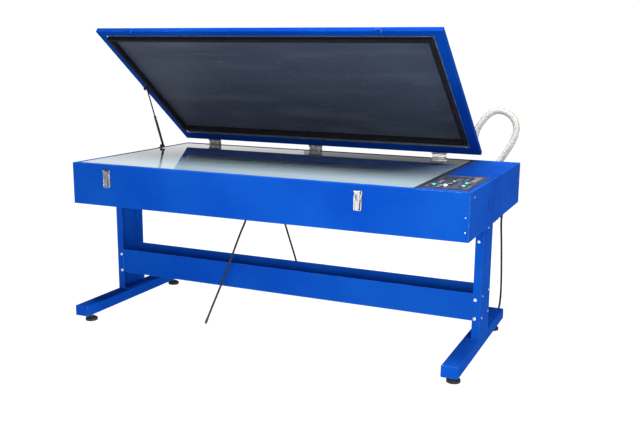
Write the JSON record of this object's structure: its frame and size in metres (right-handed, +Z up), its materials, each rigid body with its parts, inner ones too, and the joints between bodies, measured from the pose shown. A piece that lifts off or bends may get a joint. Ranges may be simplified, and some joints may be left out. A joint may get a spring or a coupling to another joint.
{
  "type": "screen printing exposure unit",
  "caption": "Blue screen printing exposure unit: glass light table with hinged vacuum lid, draw latches, gas strut and hose, on a two-column stand with levelling feet.",
  "frame": {"origin": "On the floor under the middle of the cabinet", "axes": "+X along the length to the control end, +Y to the rear where the lid is hinged, +Z up"},
  "size_m": [2.154, 1.207, 1.5839],
  "materials": {
    "blue_paint": "satin powder coat",
    "control_plate": "satin dark print",
    "zinc": "zinc plated",
    "trim_light": "satin",
    "black_rubber": "matte",
    "blanket_rubber": "matte with faint smears",
    "table_glass": "clear, reflective",
    "white_tray": "gloss white",
    "light_strip": "frosted",
    "driver_case": "natural",
    "circuit_board": "board",
    "black_plastic": "moulded",
    "black_gloss": "polished",
    "pump_metal": "painted casting",
    "green_plastic": "polished",
    "black_steel": "gloss black",
    "hose_white": "ribbed",
    "cord_black": "smooth jacket"
  },
  "bodies": {
    "base": {"cabinet_shell": "blue_paint", "right_end_panel": "blue_paint", "control_cover": "blue_paint", "glass_plate": "table_glass", "glass_gasket": "black_rubber", "led_tray": "white_tray", "led_strips": "light_strip", "led_drivers": "driver_case", "control_board": "circuit_board", "fan_frame": "black_plastic", "vacuum_pump": "pump_metal", "control_panel": "control_plate", "switch_housings": "black_plastic", "timer_module": "black_gloss", "hinge_risers": "zinc", "hinge_pins": "zinc", "strut_base_bracket": "zinc", "latch_bases": "zinc", "foot_bar_left": "blue_paint", "foot_bar_right": "blue_paint", "column_left": "blue_paint", "column_right": "blue_paint", "cross_trough": "blue_paint", "screws_and_bolts": "zinc", "hose_elbow": "hose_white", "vacuum_hose": "hose_white", "cord_strain_reliefs": "cord_black", "front_cord": "cord_black", "front_cord_connector": "black_plastic", "middle_cord": "cord_black", "middle_cord_connector": "black_plastic", "side_cord": "cord_black", "side_cord_coil": "cord_black", "side_cord_plug": "black_plastic"},
    "lid": {"lid_shell": "blue_paint", "lid_inner_trim": "trim_light", "vacuum_blanket": "blanket_rubber", "blanket_clamp_strips": "trim_light", "seal_bead": "black_rubber", "lid_stiffeners": "trim_light", "latch_keepers": "blue_paint", "hinge_leaves": "zinc", "lid_hose_port": "hose_white", "strut_lid_bracket": "zinc"},
    "strut_cylinder": {"strut_cylinder": "black_steel"},
    "strut_rod": {"strut_rod": "black_steel"},
    "latch_lever_left": {"latch_lever_left": "zinc"},
    "latch_lever_right": {"latch_lever_right": "zinc"},
    "latch_bail_left": {"latch_bail_left": "zinc"},
    "latch_bail_right": {"latch_bail_right": "zinc"},
    "start_button": {"start_button": "green_plastic"},
    "vacuum_button": {"vacuum_button": "green_plastic"},
    "light_button": {"light_button": "green_plastic"},
    "power_rocker": {"power_rocker": "black_plastic"},
    "timer_knob": {"timer_knob": "zinc"},
    "fan_rotor": {"fan_rotor": "black_plastic"},
    "levelling_foot_left_front": {"levelling_foot_left_front": "black_rubber"},
    "levelling_foot_left_rear": {"levelling_foot_left_rear": "black_rubber"},
    "levelling_foot_right_front": {"levelling_foot_right_front": "black_rubber"},
    "levelling_foot_right_rear": {"levelling_foot_right_rear": "black_rubber"}
  },
  "joints": [
    {"name": "lid_hinge", "type": "hinge", "parent": "base", "child": "lid", "pos_m": [0, 0.5518, 0.9065], "axis": [1, 0, 0], "range_deg": [0, 37], "deforming": ["vacuum_hose"]},
    {"name": "strut_swing", "type": "hinge", "parent": "base", "child": "strut_cylinder", "pos_m": [-1.043, 0.228, 0.892], "axis": [1, 0, 0], "range_deg": [-1, 68.58]},
    {"name": "strut_slide", "type": "slide", "parent": "strut_cylinder", "child": "strut_rod", "axis": [0, 0.3894, -0.9211], "range_m": [-0.002, 0.12751]},
    {"name": "latch_lever_left_hinge", "type": "hinge", "parent": "base", "child": "latch_lever_left", "pos_m": [-0.851, -0.571, 0.846], "axis": [-1, 0, 0], "range_deg": [0, 170]},
    {"name": "latch_bail_left_hinge", "type": "hinge", "parent": "latch_lever_left", "child": "latch_bail_left", "pos_m": [-0.851, -0.5685, 0.83], "axis": [-1, 0, 0], "range_deg": [0, 183]},
    {"name": "latch_lever_right_hinge", "type": "hinge", "parent": "base", "child": "latch_lever_right", "pos_m": [0.559, -0.571, 0.846], "axis": [-1, 0, 0], "range_deg": [0, 170]},
    {"name": "latch_bail_right_hinge", "type": "hinge", "parent": "latch_lever_right", "child": "latch_bail_right", "pos_m": [0.559, -0.5685, 0.83], "axis": [-1, 0, 0], "range_deg": [0, 183]},
    {"name": "start_button_press", "type": "slide", "parent": "base", "child": "start_button", "axis": [0, 0, -1], "range_m": [0, 0.003], "stiffness_N_per_m": 1200},
    {"name": "vacuum_button_press", "type": "slide", "parent": "base", "child": "vacuum_button", "axis": [0, 0, -1], "range_m": [0, 0.003], "stiffness_N_per_m": 1200},
    {"name": "light_button_press", "type": "slide", "parent": "base", "child": "light_button", "axis": [0, 0, -1], "range_m": [0, 0.003], "stiffness_N_per_m": 1200},
    {"name": "power_rocker_tilt", "type": "hinge", "parent": "base", "child": "power_rocker", "pos_m": [0.87, -0.221, 0.8785], "axis": [1, 0, 0], "range_deg": [-12, 12]},
    {"name": "timer_knob_turn", "type": "hinge", "parent": "base", "child": "timer_knob", "pos_m": [0.931, -0.44, 0.885], "axis": [0, 0, 1], "range_deg": [-140, 140]},
    {"name": "fan_spin", "type": "hinge", "parent": "base", "child": "fan_rotor", "pos_m": [1.04, 0, 0.758], "axis": [1, 0, 0], "continuous": true},
    {"name": "levelling_foot_left_front_turn", "type": "hinge", "parent": "base", "child": "levelling_foot_left_front", "pos_m": [-1.026, -0.524, 0.03], "axis": [0, 0, 1], "range_deg": [-360, 360]},
    {"name": "levelling_foot_left_rear_turn", "type": "hinge", "parent": "base", "child": "levelling_foot_left_rear", "pos_m": [-1.026, 0.276, 0.03], "axis": [0, 0, 1], "range_deg": [-360, 360]},
    {"name": "levelling_foot_right_front_turn", "type": "hinge", "parent": "base", "child": "levelling_foot_right_front", "pos_m": [1.026, -0.524, 0.03], "axis": [0, 0, 1], "range_deg": [-360, 360]},
    {"name": "levelling_foot_right_rear_turn", "type": "hinge", "parent": "base", "child": "levelling_foot_right_rear", "pos_m": [1.026, 0.276, 0.03], "axis": [0, 0, 1], "range_deg": [-360, 360]}
  ],
  "couplings": [
    {"joint": "strut_swing", "follows": "lid_hinge", "ratio": 1.8131},
    {"joint": "strut_slide", "follows": "lid_hinge", "m_per_rad": 0.19436}
  ]
}
